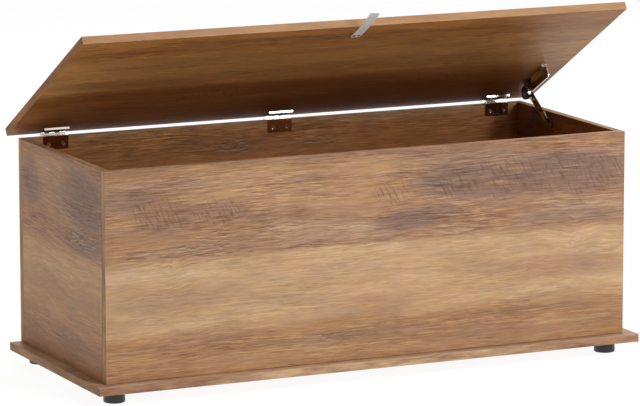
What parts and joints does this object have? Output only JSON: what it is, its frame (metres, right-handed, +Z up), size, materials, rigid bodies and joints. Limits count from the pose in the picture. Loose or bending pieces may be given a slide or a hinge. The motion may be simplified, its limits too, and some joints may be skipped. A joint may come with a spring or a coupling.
{
  "type": "wooden storage box",
  "caption": "Long low storage box of wood-effect boards with a back-hinged lid held open by a damped stay, a metal strip handle, an overhanging base and round feet.",
  "frame": {"origin": "on the floor, under the middle of the whole box with its lid open as pictured", "axes": "+X along the front from left to right, +Y from the front to the back, +Z up"},
  "size_m": [1.08, 0.4424, 0.6678],
  "materials": {
    "wood_effect_board": "satin wood-effect laminate",
    "black_plastic": "matte",
    "nickel": "bright nickel plate",
    "brushed_nickel": "brushed nickel",
    "screw_steel": "plated steel",
    "zinc": "cast zinc",
    "dark_cap": "satin"
  },
  "bodies": {
    "box": {"base_board": "wood_effect_board", "front_panel": "wood_effect_board", "back_panel": "wood_effect_board", "left_side_panel": "wood_effect_board", "right_side_panel": "wood_effect_board", "foot_front_left": "black_plastic", "foot_front_right": "black_plastic", "foot_rear_left": "black_plastic", "foot_rear_right": "black_plastic", "foot_screw_front_left": "screw_steel", "foot_screw_front_right": "screw_steel", "foot_screw_rear_left": "screw_steel", "foot_screw_rear_right": "screw_steel", "base_screw_front_left": "screw_steel", "base_screw_front_right": "screw_steel", "base_screw_rear_left": "screw_steel", "base_screw_rear_right": "screw_steel", "cam_lock_front_left": "zinc", "cam_lock_front_right": "zinc", "cam_lock_rear_left": "zinc", "cam_lock_rear_right": "zinc", "cam_bolt_front_left": "zinc", "cam_bolt_front_right": "zinc", "cam_bolt_rear_left": "zinc", "cam_bolt_rear_right": "zinc", "hinge_left_body_leaf": "nickel", "hinge_left_pin": "screw_steel", "hinge_left_body_screw_1": "screw_steel", "hinge_left_body_screw_2": "screw_steel", "hinge_middle_body_leaf": "nickel", "hinge_middle_pin": "screw_steel", "hinge_middle_body_screw_1": "screw_steel", "hinge_middle_body_screw_2": "screw_steel", "hinge_right_body_leaf": "nickel", "hinge_right_pin": "screw_steel", "hinge_right_body_screw_1": "screw_steel", "hinge_right_body_screw_2": "screw_steel", "stay_track_plate": "nickel", "stay_side_screw_1": "screw_steel", "stay_side_screw_2": "screw_steel"},
    "lid": {"lid_panel": "wood_effect_board", "lid_handle": "brushed_nickel", "handle_screw_left": "screw_steel", "handle_screw_right": "screw_steel", "hinge_left_lid_leaf": "nickel", "hinge_left_lid_screw_1": "screw_steel", "hinge_left_lid_screw_2": "screw_steel", "hinge_middle_lid_leaf": "nickel", "hinge_middle_lid_screw_1": "screw_steel", "hinge_middle_lid_screw_2": "screw_steel", "hinge_right_lid_leaf": "nickel", "hinge_right_lid_screw_1": "screw_steel", "hinge_right_lid_screw_2": "screw_steel", "stay_lid_bracket": "nickel", "stay_lid_screw_1": "screw_steel", "stay_lid_screw_2": "screw_steel", "stay_damper": "dark_cap"},
    "stay_link": {"stay_arm": "nickel", "stay_pin": "screw_steel"}
  },
  "joints": [
    {"name": "lid_hinge", "type": "hinge", "parent": "box", "child": "lid", "pos_m": [0, 0.21529, 0.4181], "axis": [-1, 0, 0], "range_deg": [-29.9, 30.1]},
    {"name": "stay_arm_pivot", "type": "hinge", "parent": "lid", "child": "stay_link", "pos_m": [0.4989, 0.13972, 0.44275], "axis": [1, 0, 0], "range_deg": [-57.71, 58.1]}
  ],
  "couplings": [
    {"joint": "stay_arm_pivot", "follows": "lid_hinge", "ratio": 1.93}
  ]
}
